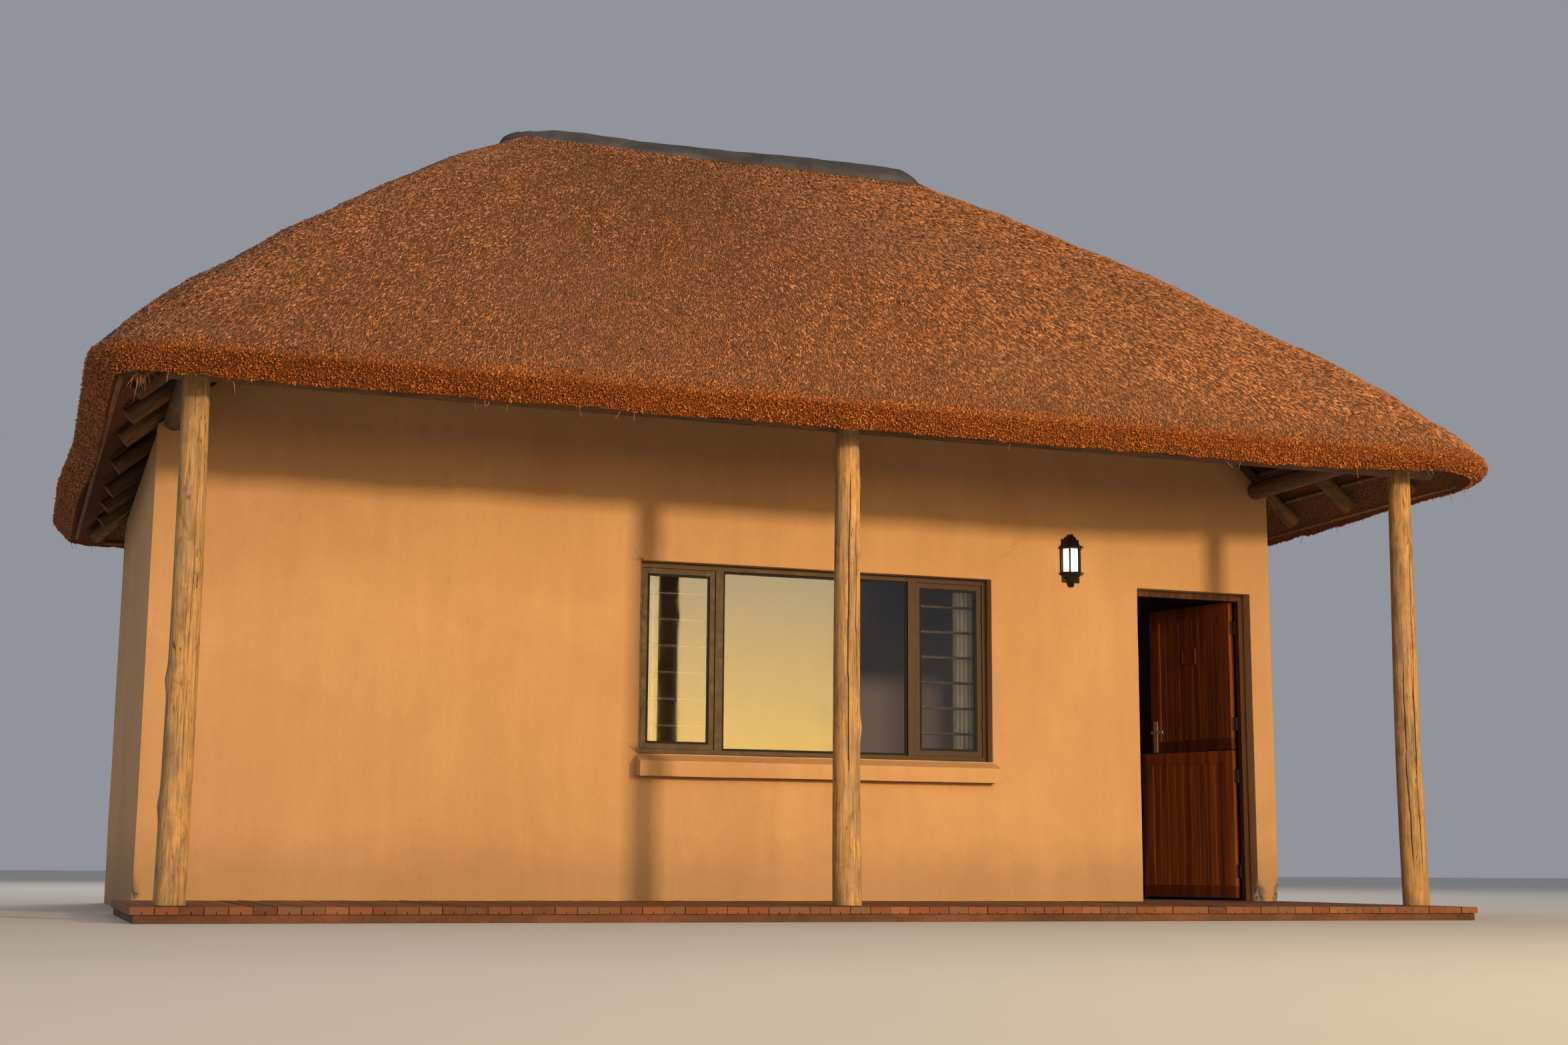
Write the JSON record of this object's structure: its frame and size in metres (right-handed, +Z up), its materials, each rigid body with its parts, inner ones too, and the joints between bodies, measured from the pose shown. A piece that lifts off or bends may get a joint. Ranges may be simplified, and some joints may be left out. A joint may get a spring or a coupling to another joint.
{
  "type": "thatched chalet hut",
  "caption": "Thatched chalet hut with plastered walls, a hipped thatch roof on poles, a pole veranda and a stable door.",
  "frame": {"origin": "ground level under the middle of the roof, below the ridge", "axes": "+X right along the veranda front, +Y from the veranda towards the back wall, +Z up"},
  "size_m": [8.576, 6.28, 5.2938],
  "materials": {
    "plaster": "matt lime-washed plaster",
    "screed": "steel-floated cement screed",
    "deck_timber": "weathered pine deck boards",
    "bronze_frame": "bronze-brown coated aluminium",
    "glass": "clear",
    "frosted_glass": "frosted",
    "dark_timber": "dark stained hardwood",
    "door_timber": "red-brown stained hardwood",
    "steel": "dull satin",
    "post_pole": "weathered peeled gum pole",
    "roof_pole": "treated gum pole",
    "lath": "treated sapling lath",
    "thatch": "weathered grass thatch",
    "mortar": "dark cement mortar",
    "black_metal": "black coated metal",
    "curtain": "pale woven cotton"
  },
  "bodies": {
    "root": {"front_wall_left": "plaster", "front_wall_under_window": "plaster", "front_wall_middle": "plaster", "front_wall_right": "plaster", "front_wall_head": "plaster", "left_wall": "plaster", "right_wall": "plaster", "back_wall": "plaster", "room_floor": "screed", "veranda_base": "screed", "veranda_deck": "deck_timber", "window_frame": "bronze_frame", "window_casements": "bronze_frame", "window_glass": "glass", "window_sill": "plaster", "curtain_rail": "black_metal", "curtain_left": "curtain", "curtain_right": "curtain", "door_frame": "dark_timber", "door_threshold": "screed", "frame_hinges": "steel", "post_left": "post_pole", "post_middle": "post_pole", "post_right": "post_pole", "front_beam": "roof_pole", "side_pole_left": "roof_pole", "side_pole_right": "roof_pole", "plate_left": "roof_pole", "plate_right": "roof_pole", "plate_back": "roof_pole", "plate_front": "roof_pole", "ridge_pole": "roof_pole", "rafters_front": "roof_pole", "rafters_back": "roof_pole", "rafters_left": "roof_pole", "rafters_right": "roof_pole", "hip_rafters": "roof_pole", "laths": "lath", "thatch_front": "thatch", "thatch_right": "thatch", "thatch_back": "thatch", "thatch_left": "thatch", "ridge_cap": "mortar", "lantern_body": "black_metal", "lantern_glass": "frosted_glass"},
    "upper_leaf": {"upper_leaf": "door_timber", "latch": "steel", "upper_hinges": "steel"},
    "lower_leaf": {"lower_leaf": "door_timber", "lower_hinges": "steel"}
  },
  "joints": [
    {"name": "upper_leaf_swing", "type": "hinge", "parent": "root", "child": "upper_leaf", "pos_m": [3.497, -0.8417, 0], "axis": [0, 0, 1], "range_deg": [-12.5, 77.5]},
    {"name": "lower_leaf_swing", "type": "hinge", "parent": "root", "child": "lower_leaf", "pos_m": [3.497, -0.8417, 0], "axis": [0, 0, 1], "range_deg": [-20.5, 69.5]}
  ]
}
